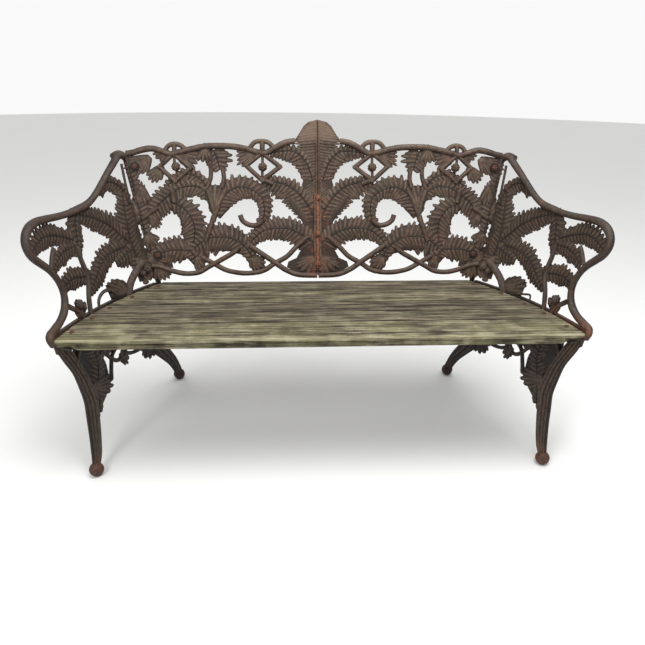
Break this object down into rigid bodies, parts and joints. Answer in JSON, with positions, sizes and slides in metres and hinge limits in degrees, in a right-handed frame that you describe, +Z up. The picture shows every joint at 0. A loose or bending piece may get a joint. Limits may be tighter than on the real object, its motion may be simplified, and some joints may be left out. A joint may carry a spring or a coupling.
{
  "type": "garden bench",
  "caption": "Cast-iron garden bench with pierced fern-frond back and ends, splayed arms, ball feet and a slatted wooden seat.",
  "frame": {"origin": "on the ground, under the middle of the bench's overall box", "axes": "+X along the bench's width, to the sitter's left as they sit, +Y to the rear, +Z up; the sitter faces -Y"},
  "size_m": [1.5436, 0.616, 0.9244],
  "materials": {
    "cast_iron": "weathered dark brown casting with rust and faint green bloom",
    "rusted_iron": "orange rust",
    "fastener_steel": "rusted dark steel",
    "weathered_wood": "bare weathered boards with green algae"
  },
  "bodies": {
    "root": {"back_bolt_left_lower": "fastener_steel", "back_bolt_left_upper": "fastener_steel", "back_bolt_right_lower": "fastener_steel", "back_bolt_right_upper": "fastener_steel", "back_nut_left_lower": "fastener_steel", "back_nut_left_upper": "fastener_steel", "back_nut_right_lower": "fastener_steel", "back_nut_right_upper": "fastener_steel", "back_panel_left": "cast_iron", "back_panel_right": "cast_iron", "end_frame_left": "cast_iron", "end_frame_right": "cast_iron", "joint_back_plate": "fastener_steel", "joint_bolt_1": "rusted_iron", "joint_bolt_2": "rusted_iron", "joint_bolt_3": "rusted_iron", "joint_nut_1": "fastener_steel", "joint_nut_2": "fastener_steel", "joint_nut_3": "fastener_steel", "joint_strip": "rusted_iron", "seat_bolt_left_1": "fastener_steel", "seat_bolt_left_2": "fastener_steel", "seat_bolt_left_3": "fastener_steel", "seat_bolt_left_4": "fastener_steel", "seat_bolt_left_5": "fastener_steel", "seat_bolt_right_1": "fastener_steel", "seat_bolt_right_2": "fastener_steel", "seat_bolt_right_3": "fastener_steel", "seat_bolt_right_4": "fastener_steel", "seat_bolt_right_5": "fastener_steel", "seat_nut_left_1": "fastener_steel", "seat_nut_left_2": "fastener_steel", "seat_nut_left_3": "fastener_steel", "seat_nut_left_4": "fastener_steel", "seat_nut_left_5": "fastener_steel", "seat_nut_right_1": "fastener_steel", "seat_nut_right_2": "fastener_steel", "seat_nut_right_3": "fastener_steel", "seat_nut_right_4": "fastener_steel", "seat_nut_right_5": "fastener_steel", "seat_slat_1_front": "weathered_wood", "seat_slat_2": "weathered_wood", "seat_slat_3": "weathered_wood", "seat_slat_4": "weathered_wood", "seat_slat_5_rear": "weathered_wood", "seat_strap": "fastener_steel", "strap_screw_1": "fastener_steel", "strap_screw_2": "fastener_steel", "strap_screw_3": "fastener_steel", "strap_screw_4": "fastener_steel", "strap_screw_5": "fastener_steel"}
  },
  "joints": []
}
